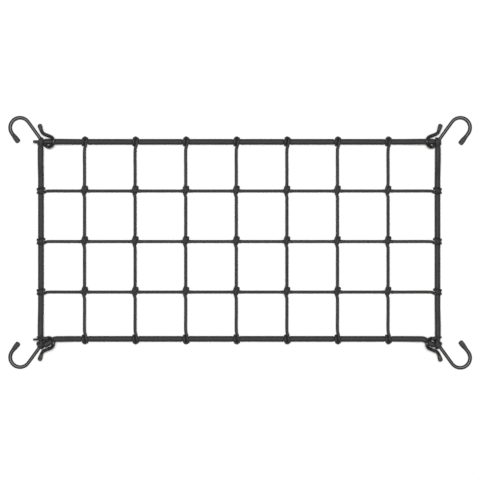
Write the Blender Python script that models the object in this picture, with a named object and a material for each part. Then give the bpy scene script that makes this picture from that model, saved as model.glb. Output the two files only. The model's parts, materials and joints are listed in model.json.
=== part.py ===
"""Elastic cargo net with a hook at each corner, lying flat on a floor.

The net is 8 squares by 4. Two thick border cords run along X and two along Y, and the
Y ones are knotted round the X ones at the corners. Seven thin cords run along Y and are
knotted round three thin cords that run along X, and all ten are knotted round the border.
Every cord is a braided sheath with a rubber core in its bore, and a knot is part of the
sheath of the cord that is tied. A bent wire hook with two dipped tips hangs by its eye
from each end of the top and bottom border cords.

Units are metres, +Z is up, the floor is z = 0, and +X and +Y run along the long and the
short side. Run it with: blender --background --python part.py
"""

import math

import bmesh
import bpy
from mathutils import Quaternion, Vector

MM = 0.001
CLEARANCE = 0.3 * MM  # gap between two pieces that touch on the real net

# Squares, from cord centre to cord centre. The outer ones differ from the rest.
PITCH = 76.0 * MM
FIRST_COLUMN = 65.6 * MM
LAST_COLUMN = 74.4 * MM
TOP_ROW = 73.8 * MM
BOTTOM_ROW = 70.4 * MM
CORDS_DOWN = 7
CORDS_ACROSS = 3

# Cords: outer radii, and the walls of their sheaths.
MESH_RADIUS = 2.1 * MM
MESH_WALL = 0.8 * MM
BORDER_RADIUS = 4.0 * MM
BORDER_WALL = 1.4 * MM
TAIL_RADIUS = 1.8 * MM
TAIL_LENGTH = 11.1 * MM  # bare end past the middle of the top left corner knot

# Knots: how far each stands out past the tied cord across it, and past its tunnel
# for a border cord upwards and along the tied cord.
KNOT_SWELL = 3.15 * MM
KNOT_WALL = 2.0 * MM
KNOT_REACH = 3.05 * MM
SIDE_KNOT_SWELL = 4.0 * MM
SIDE_KNOT_REACH = 2.3 * MM
CORNER_KNOT_SWELL = 0.75 * MM
CORNER_KNOT_WALL = 1.7 * MM
CORNER_KNOT_REACH = 2.0 * MM
KNOT_FLAT = 0.2  # share of a knot's half length that is its full thickness

# Levels. A knot stands on the floor, and the border lifts to the hooks near a corner.
ACROSS_RISE = 2.2 * MM  # of the underside of the cords that run along X
LIFT_FLAT = 24.0 * MM  # how far from a corner the border stays at the height of the hook
LIFT_RUN = 36.0 * MM  # the stretch over which it then comes down
DIP_RUN = 32.0 * MM  # the stretch over which the bottom border comes back in from its knots

# Hooks: a wire with a big bend at one end and an eye and a short tail at the other.
WIRE_RADIUS = 2.35 * MM
BEND_RADIUS = 15.0 * MM
BEND_CENTRE = (43.9 * MM, 21.6 * MM)  # outwards along X and Y from the middle of the eye
SHANK_DEGREES = 56.0  # from the X axis
TIP_STRAIGHT_LEFT = 15.2 * MM  # from the big bend to the end of the wire
TIP_STRAIGHT_RIGHT = 19.0 * MM
SHANK_GAP = 1.25 * MM  # between the shank and the corner knot above it
EYE_HALF_WIDTH = 7.8 * MM
EYE_SLACK_ALONG = 1.85 * MM  # between the eye and the cord in it, along the short side
EYE_SLACK_UP = 1.65 * MM
EYE_START_DEGREES = 125.0
EYE_LEVEL_DEGREES = 200.0
EYE_END_DEGREES = 340.0
TAIL_KNEE = (9.6 * MM, 3.17 * MM, 1.2 * MM)  # its Y is measured from the far side of the knot
TAIL_END = (13.8 * MM, 15.97 * MM, -1.2 * MM)
TAIL_KNEE_CUT = 3.0 * MM
EYE_GAP_LEFT = 8.2 * MM  # middle of the eye from the nearer side of the side border
EYE_GAP_RIGHT = 5.5 * MM

# Dipped tips: a blind sleeve over each end of the wire.
TIP_WALL = 0.6 * MM
BIG_TIP_LENGTH = 15.6 * MM
EYE_TIP_LENGTH = 10.4 * MM
TIP_FLOOR_GAP = 0.1 * MM
TIP_END_WALL = 1.2 * MM

# Thin binding cord: round the side border, with its inner end laid along X.
BINDING_RADIUS = 1.7 * MM
BINDING_SHORT_OF_EYE = 0.6 * MM  # its inner end stops this far before the middle of the eye
BINDING_INNER_SIDE = 1.4 * MM  # its inner end lies this far inside the bottom border's line
BINDING_BEND = 4.5 * MM  # where its inner end starts towards that place
BINDING_OUTER_SIDE = 0.6 * MM  # its outer end lies this far outside the line
BINDING_OUTER_END = (5.1 * MM, 4.0 * MM)  # outwards and down from the outside of its turn
BINDING_KNOT_GAP = 1.0 * MM  # between the binding and the corner knot

SIDES = 8
CUTTER_SIDES = 12
ARC_STEPS = 12
EYE_STEPS = 16
RUN_STEPS = 6

# Worked out from the sizes above.
MESH_HOLE = MESH_RADIUS - MESH_WALL
BORDER_HOLE = BORDER_RADIUS - BORDER_WALL
TUNNEL = BORDER_RADIUS + CLEARANCE
KNOT_HALF_WIDTH = MESH_RADIUS + KNOT_SWELL
KNOT_HALF_HEIGHT = TUNNEL + KNOT_WALL
KNOT_HALF_LENGTH = TUNNEL + KNOT_REACH
SIDE_KNOT_HALF_WIDTH = MESH_RADIUS + SIDE_KNOT_SWELL
SIDE_KNOT_HALF_LENGTH = TUNNEL + SIDE_KNOT_REACH
CORNER_KNOT_HALF_WIDTH = BORDER_RADIUS + CORNER_KNOT_SWELL
CORNER_KNOT_HALF_HEIGHT = TUNNEL + CORNER_KNOT_WALL
CORNER_KNOT_HALF_LENGTH = TUNNEL + CORNER_KNOT_REACH
TIP_RADIUS = WIRE_RADIUS + CLEARANCE + TIP_WALL
EYE_HALF_LENGTH = BORDER_RADIUS + WIRE_RADIUS + EYE_SLACK_ALONG
EYE_HALF_HEIGHT = BORDER_RADIUS + WIRE_RADIUS + EYE_SLACK_UP
EYE_INSET_LEFT = BORDER_RADIUS + EYE_GAP_LEFT
EYE_INSET_RIGHT = BORDER_RADIUS + EYE_GAP_RIGHT
SHANK_DROP = CORNER_KNOT_HALF_HEIGHT + WIRE_RADIUS + SHANK_GAP
BINDING_PITCH = 2 * BINDING_RADIUS + CLEARANCE
BINDING_REACH = TUNNEL + BINDING_RADIUS
DIP = CORNER_KNOT_HALF_LENGTH + BINDING_RADIUS + BINDING_KNOT_GAP  # of the bottom corner knots
ACROSS_Z = MESH_RADIUS + ACROSS_RISE
DOWN_Z = ACROSS_Z + 2 * MESH_RADIUS + CLEARANCE
BORDER_Z = KNOT_HALF_HEIGHT
HOOK_Z = TIP_RADIUS + TIP_FLOOR_GAP
CORNER_Z = HOOK_Z + SHANK_DROP
WIDTH = FIRST_COLUMN + (CORDS_DOWN - 1) * PITCH + LAST_COLUMN
HEIGHT = TOP_ROW + (CORDS_ACROSS - 1) * PITCH + BOTTOM_ROW


def smoothstep(value):
    """Runs from 0 to 1 with level ends as value runs from 0 to 1."""
    value = min(max(value, 0.0), 1.0)
    return value * value * (3 - 2 * value)


def lift(from_corner):
    """Height of the border's centre at a distance from the corner."""
    down = smoothstep((from_corner - LIFT_FLAT) / LIFT_RUN)
    return CORNER_Z + (BORDER_Z - CORNER_Z) * down


def dip(from_corner):
    """How far the bottom border hangs outside its line at a distance from the corner."""
    return DIP * (1 - smoothstep(from_corner / DIP_RUN))


# The eye of a bottom hook sits where its cord is, and the net is centred on its hooks.
EYE_DIP_LEFT = dip(EYE_INSET_LEFT)
EYE_DIP_RIGHT = dip(EYE_INSET_RIGHT)
KNOT_PAST_EYE = DIP + CORNER_KNOT_HALF_LENGTH - min(EYE_DIP_LEFT, EYE_DIP_RIGHT)
LEFT = (EYE_INSET_RIGHT - EYE_INSET_LEFT - WIDTH) / 2
RIGHT = LEFT + WIDTH
TOP = (HEIGHT + max(EYE_DIP_LEFT, EYE_DIP_RIGHT)) / 2
BOTTOM = TOP - HEIGHT
DOWN_X = [LEFT + FIRST_COLUMN + PITCH * i for i in range(CORDS_DOWN)]
ACROSS_Y = [TOP - TOP_ROW - PITCH * i for i in range(CORDS_ACROSS)]


def material(name, colour, roughness, metallic=0.0):
    """A Principled material with one colour."""
    made = bpy.data.materials.new(name)
    made.use_nodes = True
    shader = made.node_tree.nodes["Principled BSDF"]
    shader.inputs["Base Color"].default_value = (*colour, 1.0)
    shader.inputs["Roughness"].default_value = roughness
    shader.inputs["Metallic"].default_value = metallic
    made.diffuse_color = (*colour, 1.0)
    return made


def frames(points, direction=None):
    """One (tangent, side, up) for each point of a path, carried along without twist.

    With a direction, every section is square to it instead of to the path.
    """
    points = [Vector(p) for p in points]
    if direction is not None:
        return [(direction, direction.cross(Vector((0, 0, 1))), Vector((0, 0, 1)))] * len(points)
    found = []
    up = Vector((0, 0, 1))
    for i, point in enumerate(points):
        before = points[max(i - 1, 0)]
        after = points[min(i + 1, len(points) - 1)]
        tangent = (after - before).normalized()
        if found:
            up = found[-1][0].rotation_difference(tangent) @ found[-1][2]
        side = tangent.cross(up).normalized()
        up = side.cross(tangent).normalized()
        found.append((tangent, side, up))
    return found


def ring(bm, centre, frame, half_width, half_height, sides):
    """Points round one section, with a level edge at the bottom."""
    _, side, up = frame
    points = []
    for k in range(sides):
        angle = 2 * math.pi * (k + 0.5) / sides
        across = side * (half_width * math.cos(angle))
        points.append(bm.verts.new(Vector(centre) + across + up * (half_height * math.sin(angle))))
    return points


def skin(bm, first, second):
    """Quads between two rings of a shell, facing out when they run along the path."""
    for k, corner in enumerate(first):
        after = (k + 1) % len(first)
        bm.faces.new((corner, second[k], second[after], first[after]))


def shell(bm, path, sections, inward=False, caps=(True, True), sides=SIDES, direction=None):
    """A closed or open-ended shell along a path, whose sections are half sizes."""
    places = zip(path, frames(path, direction), sections)
    rings = [ring(bm, point, frame, wide, tall, sides) for point, frame, (wide, tall) in places]
    if inward:
        rings = [list(reversed(r)) for r in rings]
    for first, second in zip(rings, rings[1:]):
        skin(bm, first, second)
    if caps[0]:
        bm.faces.new(rings[0])
    if caps[1]:
        bm.faces.new(list(reversed(rings[-1])))
    return rings


def join_mouth(bm, outer, inner_reversed, at_start=False):
    """The flat rim between the last ring of a shell and that of its bore."""
    inner = list(reversed(inner_reversed))
    if at_start:
        skin(bm, inner, outer)
    else:
        skin(bm, outer, inner)


def finish(bm, name, look):
    """Makes the object of a node from its mesh, smooth except at sharp edges."""
    mesh = bpy.data.meshes.new(name)
    bm.to_mesh(mesh)
    bm.free()
    mesh.shade_smooth()
    mesh.set_sharp_from_angle(angle=math.radians(50))
    mesh.materials.append(look)
    made = bpy.data.objects.new(name, mesh)
    bpy.context.scene.collection.objects.link(made)
    return made


def rod(name, path, radius, look, sides=SIDES):
    """A solid round cord or wire along a path."""
    bm = bmesh.new()
    shell(bm, path, [(radius, radius)] * len(path), sides=sides)
    return finish(bm, name, look)


def cutter(name, path, radius):
    """A hidden round cutter that leaves the clearance round a cord of that radius."""
    reach = (radius + CLEARANCE) / math.cos(math.pi / CUTTER_SIDES)
    made = rod(name, path, reach, None, CUTTER_SIDES)
    made.hide_render = True
    made.display_type = "WIRE"
    return made


def cut(obj, cutters):
    """Cuts each crossing cord's tunnel through a sheath."""
    for tool in cutters:
        step = obj.modifiers.new("tunnel " + tool.name, "BOOLEAN")
        step.operation = "DIFFERENCE"
        step.solver = "EXACT"
        step.object = tool


def knot_profile(half_width, half_length, centre_height, half_height, cord_height, cord_radius):
    """(place along the cord, section centre height, half sizes) across one knot."""
    flat = 1 / math.cos(math.pi / SIDES)  # the level edge lies inside the corner radius
    rows = []
    for share in (-1.0, -0.68, -KNOT_FLAT, KNOT_FLAT, 0.68, 1.0):
        swell = math.sqrt(max(0.0, 1 - max(0.0, abs(share) - KNOT_FLAT) ** 2 / (1 - KNOT_FLAT) ** 2))
        height = cord_height + (centre_height - cord_height) * swell
        wide = cord_radius + (half_width - cord_radius) * swell
        tall = cord_radius + (half_height * flat - cord_radius) * swell
        rows.append((share * half_length, height, wide, tall))
    return rows


def closed_end(rows, outward):
    """The rows of a knot that ends its cord: its outer end comes round to a small flat."""
    place, height, wide, tall = rows[-1] if outward > 0 else rows[0]
    middle = rows[len(rows) // 2][1]
    last = (place, middle, wide, tall)
    return rows[:-1] + [last] if outward > 0 else [last] + rows[1:]


def straight_cord(name, along, fixed, knots, cord, looks):
    """A thin mesh cord: a sheath with its knots and bore, and the core inside it.

    along is 0 for a cord along X and 1 for one along Y, fixed is its other coordinate,
    knots holds (place, rows, outward) with an outward of -1 or 1 at an end of the cord,
    and cord is the height of its centre.
    """
    direction = Vector((1 - along, along, 0))

    def point(place, height):
        return direction * place + Vector((along, 1 - along, 0)) * fixed + Vector((0, 0, height))

    path, sections = [], []
    for place, rows, outward in knots:
        for offset, level, wide, tall in closed_end(rows, outward) if outward else rows:
            path.append(point(place + offset, level))
            sections.append((wide, tall))
    low, high = knots[0][0], knots[-1][0]
    bm = bmesh.new()
    shell(bm, path, sections, direction=direction)
    shell(bm, [point(low, cord), point(high, cord)], [(MESH_HOLE, MESH_HOLE)] * 2, inward=True)
    sheath = finish(bm, name, looks[0])
    stop = BORDER_RADIUS + 3 * CLEARANCE
    ends = [point(low + stop, cord), point(high - stop, cord)]
    rod(name.replace("cord", "core"), ends, MESH_HOLE - CLEARANCE, looks[1])
    return sheath


def border_stations(low, high):
    """Places along a border cord: close together where it lifts, and none between."""
    near = [LIFT_FLAT * i / RUN_STEPS for i in range(RUN_STEPS)]
    near += [LIFT_FLAT + LIFT_RUN * i / RUN_STEPS for i in range(RUN_STEPS + 1)]
    return [low + d for d in near] + [high - d for d in reversed(near)]


def across_border_path(edge_y, dips):
    """The centre line of the top or bottom border cord between its corner knots."""
    path = []
    for x in border_stations(LEFT, RIGHT):
        from_corner = min(x - LEFT, RIGHT - x)
        drop = dip(from_corner) if dips else 0.0
        path.append((x, edge_y - drop, lift(from_corner)))
    return path


def side_border_path(edge_x, top, bottom):
    """The centre line of a side border cord between its corner knots."""
    return [(edge_x, y, lift(min(y - bottom, top - y))) for y in border_stations(bottom, top)]


def across_border(name, path, tail, looks):
    """The top or bottom border cord: its bore opens at the right end, past the last knot."""
    end = CORNER_KNOT_HALF_WIDTH
    first, last = Vector(path[0]), Vector(path[-1])
    out_left = (first - Vector(path[1])).normalized()
    out_right = (last - Vector(path[-2])).normalized()
    whole = list(path) + [tuple(last + out_right * end)]
    sections = [(BORDER_RADIUS, BORDER_RADIUS)] * len(whole)
    bore_path = whole
    if tail:
        neck = [first + out_left * TAIL_LENGTH, first + out_left * end]
        sections = [(TAIL_RADIUS, TAIL_RADIUS)] * 2 + sections
        whole = [tuple(p) for p in neck] + whole
    else:
        whole = [tuple(first + out_left * end)] + whole
        sections = sections + [sections[0]]
    bm = bmesh.new()
    outer = shell(bm, whole, sections, caps=(True, False))
    holes = [(BORDER_HOLE, BORDER_HOLE)] * len(bore_path)
    bore = shell(bm, bore_path, holes, inward=True, caps=(True, False))
    join_mouth(bm, outer[-1], bore[-1])
    sheath = finish(bm, name, looks[0])
    inner = [tuple(first - out_left * CLEARANCE)] + list(path[1:]) + [whole[-1]]
    rod(name.replace("cord", "core"), inner, BORDER_HOLE - CLEARANCE, looks[1])
    return sheath


def side_border(name, path, looks):
    """A side border cord, which ends in a knot round the top and the bottom border cord."""
    rows = knot_profile(
        CORNER_KNOT_HALF_WIDTH,
        CORNER_KNOT_HALF_LENGTH,
        CORNER_Z,
        CORNER_KNOT_HALF_HEIGHT,
        CORNER_Z,
        BORDER_RADIUS,
    )
    x = path[0][0]
    whole, sections = [], []
    for offset, level, wide, tall in rows:
        whole.append((x, path[0][1] + offset, level))
        sections.append((wide, tall))
    for point in path:
        if path[0][1] + CORNER_KNOT_HALF_LENGTH < point[1] < path[-1][1] - CORNER_KNOT_HALF_LENGTH:
            whole.append(point)
            sections.append((BORDER_RADIUS, BORDER_RADIUS))
    for offset, level, wide, tall in rows:
        whole.append((x, path[-1][1] + offset, level))
        sections.append((wide, tall))
    bm = bmesh.new()
    shell(bm, whole, sections)
    shell(bm, path, [(BORDER_HOLE, BORDER_HOLE)] * len(path), inward=True)
    sheath = finish(bm, name, looks[0])
    stop = BORDER_RADIUS + 3 * CLEARANCE
    low, high = path[0][1] + stop, path[-1][1] - stop
    inner = [p for p in path if low < p[1] < high]
    inner = [(x, low, CORNER_Z)] + inner + [(x, high, CORNER_Z)]
    rod(name.replace("cord", "core"), inner, BORDER_HOLE - CLEARANCE, looks[1])
    return sheath


def hook_path(tip_straight):
    """The wire's centre line from the big bend's tip to the tail of the eye.

    Its origin is the middle of the eye, on the cord's centre: +X and +Y point outwards
    from the corner of the net, and Z is measured from the cord.
    """
    angle = math.radians(SHANK_DEGREES)
    out = Vector((math.cos(angle), math.sin(angle), 0))
    centre = Vector((*BEND_CENTRE, -SHANK_DROP))
    points = []
    tip = centre + Vector((BEND_RADIUS * math.sin(angle), -BEND_RADIUS * math.cos(angle), 0))
    points.append(tip - out * tip_straight)
    for i in range(ARC_STEPS + 1):
        turn = angle - math.pi / 2 + math.pi * i / ARC_STEPS
        points.append(centre + Vector((math.cos(turn), math.sin(turn), 0)) * BEND_RADIUS)
    for i in range(EYE_STEPS + 1):
        degrees = EYE_START_DEGREES + (EYE_END_DEGREES - EYE_START_DEGREES) * i / EYE_STEPS
        turn = math.radians(degrees)
        level = -EYE_HALF_HEIGHT * math.sin(turn)
        run = EYE_LEVEL_DEGREES - EYE_START_DEGREES
        blend = smoothstep((degrees - EYE_START_DEGREES) / run)
        height = -SHANK_DROP + (level + SHANK_DROP) * blend
        across = EYE_HALF_WIDTH * math.sin(turn)
        points.append(Vector((across, EYE_HALF_LENGTH * math.cos(turn), height)))
    past_knot = Vector((0, KNOT_PAST_EYE, 0))
    knee, end = Vector(TAIL_KNEE) + past_knot, Vector(TAIL_END) + past_knot
    before = knee + (points[-1] - knee).normalized() * TAIL_KNEE_CUT
    after = knee + (end - knee).normalized() * TAIL_KNEE_CUT
    for i in range(RUN_STEPS - 1):
        t = i / (RUN_STEPS - 2)
        points.append(before * (1 - t) ** 2 + knee * 2 * t * (1 - t) + after * t**2)
    points.append(end)
    return points


def tip_sleeve(name, wire_end, inside, length, look):
    """A dipped tip: a blind sleeve over the end of the wire, along its last stretch."""
    along = (wire_end - inside).normalized()
    hole = WIRE_RADIUS + CLEARANCE
    last = wire_end + along * (CLEARANCE + TIP_END_WALL)
    mouth = last - along * length
    shoulder = TIP_RADIUS * 0.7
    path = [mouth, mouth + along * TIP_RADIUS, last - along * shoulder, last - along * shoulder * 0.3, last]
    half = [hole + CLEARANCE * 1.5, TIP_RADIUS, TIP_RADIUS, TIP_RADIUS * 0.78, TIP_RADIUS * 0.4]
    bm = bmesh.new()
    outer = shell(bm, path, [(r, r) for r in half], caps=(False, True))
    bore = [mouth, wire_end + along * CLEARANCE]
    inner = shell(bm, bore, [(hole, hole)] * 2, inward=True, caps=(False, True))
    join_mouth(bm, outer[0], inner[0], at_start=True)
    return finish(bm, name, look)


def hook(corner, place, turn, signs, looks):
    """One hook, its two dipped tips, and the empty on the axis that it swings about."""
    empty = bpy.data.objects.new("swing_" + corner, None)
    empty.location = place
    empty.rotation_euler = (0, 0, turn)
    bpy.context.scene.collection.objects.link(empty)
    spin = Quaternion((0, 0, 1), -turn)
    route = hook_path(TIP_STRAIGHT_LEFT if signs[0] < 0 else TIP_STRAIGHT_RIGHT)
    points = [spin @ Vector((p.x * signs[0], p.y * signs[1], p.z)) for p in route]
    made = [
        rod("hook_wire_" + corner, points, WIRE_RADIUS, looks[0]),
        tip_sleeve("hook_tip_" + corner, points[0], points[1], BIG_TIP_LENGTH, looks[1]),
        tip_sleeve("eye_tip_" + corner, points[-1], points[-2], EYE_TIP_LENGTH, looks[1]),
    ]
    for piece in made:
        piece.parent = empty


def binding(name, x, y, outward, inset, sticks_out, look):
    """Thin cord round the side border, whose inner end leaves from the top.

    Its outer end sticks out after one whole turn, or is tucked under after half a turn.
    """
    steps = 2 * RUN_STEPS + 2
    first, path = steps // 2, []
    if sticks_out:
        reach = BINDING_REACH + BINDING_OUTER_END[0]
        rise = BINDING_REACH - BINDING_OUTER_END[1]
        path = [(x + outward * reach, y - BINDING_OUTER_SIDE, CORNER_Z + rise)]
        first = 0
    for i in range(first, steps + 1):
        turn = 2 * math.pi * i / steps
        across = outward * BINDING_REACH * math.sin(turn)
        level = CORNER_Z + BINDING_REACH * math.cos(turn)
        path.append((x - across, y + BINDING_PITCH * i / steps, level))
    level = CORNER_Z + BINDING_REACH
    path.append((x - outward * BINDING_BEND, y + BINDING_PITCH, level))
    inner_end = inset - BINDING_SHORT_OF_EYE
    path.append((x - outward * inner_end, y + BINDING_INNER_SIDE, level))
    return rod(name, path, BINDING_RADIUS, look)


def build_border(sheath_looks):
    """The four border cords, and the cutters that they make in the knots round them."""
    low = BOTTOM - DIP
    top_path = across_border_path(TOP, False)
    bottom_path = across_border_path(BOTTOM, True)
    across_border("border_cord_top", top_path, True, sheath_looks)
    across_border("border_cord_bottom", bottom_path, False, sheath_looks)
    tunnels = {}
    for name, path in (("top", top_path), ("bottom", bottom_path)):
        first, last = Vector(path[0]), Vector(path[-1])
        start = first + (first - Vector(path[1])).normalized() * KNOT_HALF_LENGTH * 2
        end = last + (last - Vector(path[-2])).normalized() * KNOT_HALF_LENGTH * 2
        tunnels[name] = cutter("tunnel_" + name, [start, *path, end], BORDER_RADIUS)
    for name, x in (("left", LEFT), ("right", RIGHT)):
        path = side_border_path(x, TOP, low)
        tunnels[name] = cutter("tunnel_" + name, path, BORDER_RADIUS)
        sheath = side_border("border_cord_" + name, path, sheath_looks)
        cut(sheath, [tunnels["top"], tunnels["bottom"]])
    return tunnels


def build_mesh(tunnels, looks):
    """The ten thin cords, numbered from the left and from the top."""
    crossing = [
        cutter(f"tunnel_across_{i + 1}", [(LEFT, y, ACROSS_Z), (RIGHT, y, ACROSS_Z)], MESH_RADIUS)
        for i, y in enumerate(ACROSS_Y)
    ]
    knot = knot_profile(
        KNOT_HALF_WIDTH, KNOT_HALF_LENGTH, BORDER_Z, KNOT_HALF_HEIGHT, DOWN_Z, MESH_RADIUS
    )
    for i, x in enumerate(DOWN_X):
        knots = [(BOTTOM, knot, -1)] + [(y, knot, 0) for y in reversed(ACROSS_Y)] + [(TOP, knot, 1)]
        sheath = straight_cord(f"mesh_cord_down_{i + 1}", 1, x, knots, DOWN_Z, looks)
        cut(sheath, [*crossing, tunnels["top"], tunnels["bottom"]])
    knot = knot_profile(
        SIDE_KNOT_HALF_WIDTH,
        SIDE_KNOT_HALF_LENGTH,
        BORDER_Z,
        KNOT_HALF_HEIGHT,
        ACROSS_Z,
        MESH_RADIUS,
    )
    for i, y in enumerate(ACROSS_Y):
        knots = [(LEFT, knot, -1), (RIGHT, knot, 1)]
        sheath = straight_cord(f"mesh_cord_across_{i + 1}", 0, y, knots, ACROSS_Z, looks)
        cut(sheath, [tunnels["left"], tunnels["right"]])


def build_hooks(looks):
    """The four hooks. A bottom one is turned to follow its cord through the eye."""
    for side, edge, inset, sign in (("left", LEFT, EYE_INSET_LEFT, -1), ("right", RIGHT, EYE_INSET_RIGHT, 1)):
        x = edge - sign * inset
        hook(f"top_{side}", (x, TOP, CORNER_Z), 0.0, (sign, 1), looks)
        near, far = dip(inset - EYE_HALF_WIDTH), dip(inset + EYE_HALF_WIDTH)
        turn = -sign * math.atan2(near - far, 2 * EYE_HALF_WIDTH)
        hook(f"bottom_{side}", (x, BOTTOM - dip(inset), CORNER_Z), turn, (sign, -1), looks)


def main():
    """Clears the scene and builds the whole net."""
    for old in list(bpy.data.objects):
        bpy.data.objects.remove(old, do_unlink=True)
    sheath = material("black_braided_sheath", (0.018, 0.018, 0.019), 0.62)
    core = material("natural_rubber_core", (0.62, 0.52, 0.36), 0.7)
    wire = material("black_coated_wire", (0.02, 0.02, 0.022), 0.3, 0.4)
    vinyl = material("dipped_vinyl", (0.055, 0.055, 0.057), 0.7)
    tunnels = build_border((sheath, core))
    build_mesh(tunnels, (sheath, core))
    build_hooks((wire, vinyl))
    binding("corner_binding_left", LEFT, BOTTOM, -1, EYE_INSET_LEFT, True, sheath)
    binding("corner_binding_right", RIGHT, BOTTOM, 1, EYE_INSET_RIGHT, False, sheath)


main()
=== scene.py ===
"""Looks of an elastic cargo net with a coated wire hook at each corner, lying flat.

Every cord of the net is braided: a Geometry Nodes tree lays the braid's strands round the
route of the cord, through its knots. The hooks are bent wire with dipped tips.
Units are metres, unless a name ends in _mm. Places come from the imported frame.
"""

import json
import logging
import math
from dataclasses import dataclass
from enum import Enum
from typing import Any, Iterable, Sequence

import bpy
import numpy as np
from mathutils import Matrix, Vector

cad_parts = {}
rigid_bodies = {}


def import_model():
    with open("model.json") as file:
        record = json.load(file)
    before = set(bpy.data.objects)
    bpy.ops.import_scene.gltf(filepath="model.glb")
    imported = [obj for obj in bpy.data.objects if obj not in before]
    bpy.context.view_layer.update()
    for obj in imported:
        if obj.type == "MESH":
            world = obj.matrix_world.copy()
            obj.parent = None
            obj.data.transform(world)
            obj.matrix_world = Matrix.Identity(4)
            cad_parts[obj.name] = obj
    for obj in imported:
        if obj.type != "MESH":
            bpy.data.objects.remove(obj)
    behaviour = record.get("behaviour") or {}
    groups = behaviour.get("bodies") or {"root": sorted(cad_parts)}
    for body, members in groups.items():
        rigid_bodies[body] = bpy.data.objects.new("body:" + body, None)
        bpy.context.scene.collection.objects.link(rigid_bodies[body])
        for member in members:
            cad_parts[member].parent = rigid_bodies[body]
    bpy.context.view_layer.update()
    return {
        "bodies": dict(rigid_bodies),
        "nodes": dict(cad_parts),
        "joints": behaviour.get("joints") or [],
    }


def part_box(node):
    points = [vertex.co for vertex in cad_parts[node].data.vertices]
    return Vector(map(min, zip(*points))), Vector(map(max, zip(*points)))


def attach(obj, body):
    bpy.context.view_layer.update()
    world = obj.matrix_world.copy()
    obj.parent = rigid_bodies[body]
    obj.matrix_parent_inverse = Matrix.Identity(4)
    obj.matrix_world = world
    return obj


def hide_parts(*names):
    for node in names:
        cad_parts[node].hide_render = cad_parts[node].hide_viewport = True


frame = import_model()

MM = 0.001
NET_BODY = "net"

Point = tuple[float, float, float]
Station = tuple[Point, float]

log = logging.getLogger("cargo_net")


# ---------------------------------------------------------------- colours and node helper


def linear(hex_colour: str) -> tuple[float, float, float, float]:
    """Turns an sRGB hex colour into linear values.

    Args:
        hex_colour: Six hex digits after a hash sign.

    Returns:
        Linear red, green, blue and an alpha of 1.
    """
    values = [int(hex_colour[i : i + 2], 16) / 255 for i in (1, 3, 5)]
    turned = [v / 12.92 if v <= 0.04045 else ((v + 0.055) / 1.055) ** 2.4 for v in values]
    return (turned[0], turned[1], turned[2], 1.0)


def add(
    tree: bpy.types.NodeTree, kind: str, links: dict[Any, Any] | None = None, **settings: Any
) -> bpy.types.Node:
    """Adds a node with its settings and links.

    Args:
        tree: The tree that takes the node.
        kind: The node's type name.
        links: For each input, by name or index, a socket to link or a value to set.
        settings: The node's own properties.

    Returns:
        The new node.
    """
    node = tree.nodes.new(kind)
    for name, value in settings.items():
        setattr(node, name, value)
    for key, value in (links or {}).items():
        if isinstance(value, bpy.types.NodeSocket):
            tree.links.new(value, node.inputs[key])
        else:
            node.inputs[key].default_value = value
    return node


def calculate(tree: bpy.types.NodeTree, operation: str, *values: Any) -> bpy.types.NodeSocket:
    """Adds a Math node to a geometry or shader tree.

    Args:
        tree: The tree that takes the node.
        operation: What the node works out.
        values: Its operands, each a socket or a number.

    Returns:
        The socket with the result.
    """
    return add(tree, "ShaderNodeMath", dict(enumerate(values)), operation=operation).outputs[0]


@dataclass(frozen=True)
class BraidPattern:
    """A two-over, two-under braid, worked out the same way in geometry and in materials.

    One unit is the width of a strand. A strand of the one hand keeps its number while
    around + along changes, and a strand of the other hand keeps it while around - along does.
    """

    roundness: float = 0.6  # below 1 makes a strand's back broad and its sides steep

    def height(self, tree: bpy.types.NodeTree, around: Any, along: Any) -> bpy.types.NodeSocket:
        """Works out how high the upper strand stands at a place.

        Args:
            tree: The tree that takes the nodes.
            around: Socket of the place round the cord, in strands.
            along: Socket of the place along the cord, in strands.

        Returns:
            Socket of the height, from 0 between strands to 1 on a strand's back.
        """
        right = calculate(tree, "ADD", around, along)
        left = calculate(tree, "SUBTRACT", around, along)
        numbers = calculate(tree, "ADD", calculate(tree, "FLOOR", right), calculate(tree, "FLOOR", left))
        phase = calculate(tree, "FLOORED_MODULO", numbers, 4.0)
        left_is_up = calculate(tree, "GREATER_THAN", phase, 1.5)
        across_right = calculate(tree, "FRACT", right)
        across_left = calculate(tree, "FRACT", left)
        across = self.choose(tree, left_is_up, across_right, across_left)
        over = self.choose(tree, left_is_up, across_left, across_right)
        step = calculate(tree, "SUBTRACT", phase, calculate(tree, "MULTIPLY", left_is_up, 2.0))
        run = calculate(tree, "MULTIPLY", calculate(tree, "ADD", step, over), 0.5)
        return calculate(tree, "MULTIPLY", self.arch(tree, across), self.arch(tree, run))

    @staticmethod
    def choose(tree: bpy.types.NodeTree, which: Any, low: Any, high: Any) -> bpy.types.NodeSocket:
        """Gives low where which is 0 and high where it is 1.

        Args:
            tree: The tree that takes the nodes.
            which: Socket that is 0 or 1.
            low: Socket for 0.
            high: Socket for 1.

        Returns:
            Socket of the chosen value.
        """
        change = calculate(tree, "SUBTRACT", high, low)
        return calculate(tree, "MULTIPLY_ADD", which, change, low)

    def arch(self, tree: bpy.types.NodeTree, share: Any) -> bpy.types.NodeSocket:
        """Rounds a strand: 0 at both of its sides and 1 in its middle.

        Args:
            tree: The tree that takes the nodes.
            share: Socket that runs from 0 to 1 across it.

        Returns:
            Socket of the height of the arch.
        """
        wave = calculate(tree, "SINE", calculate(tree, "MULTIPLY", share, math.pi))
        return calculate(tree, "POWER", calculate(tree, "MAXIMUM", wave, 0.0), self.roundness)


PATTERN = BraidPattern()
PLACE_ATTRIBUTE = "braid_place"  # cosine and sine of the place round the cord, and units along it


# ---------------------------------------------------------------- finishes


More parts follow.
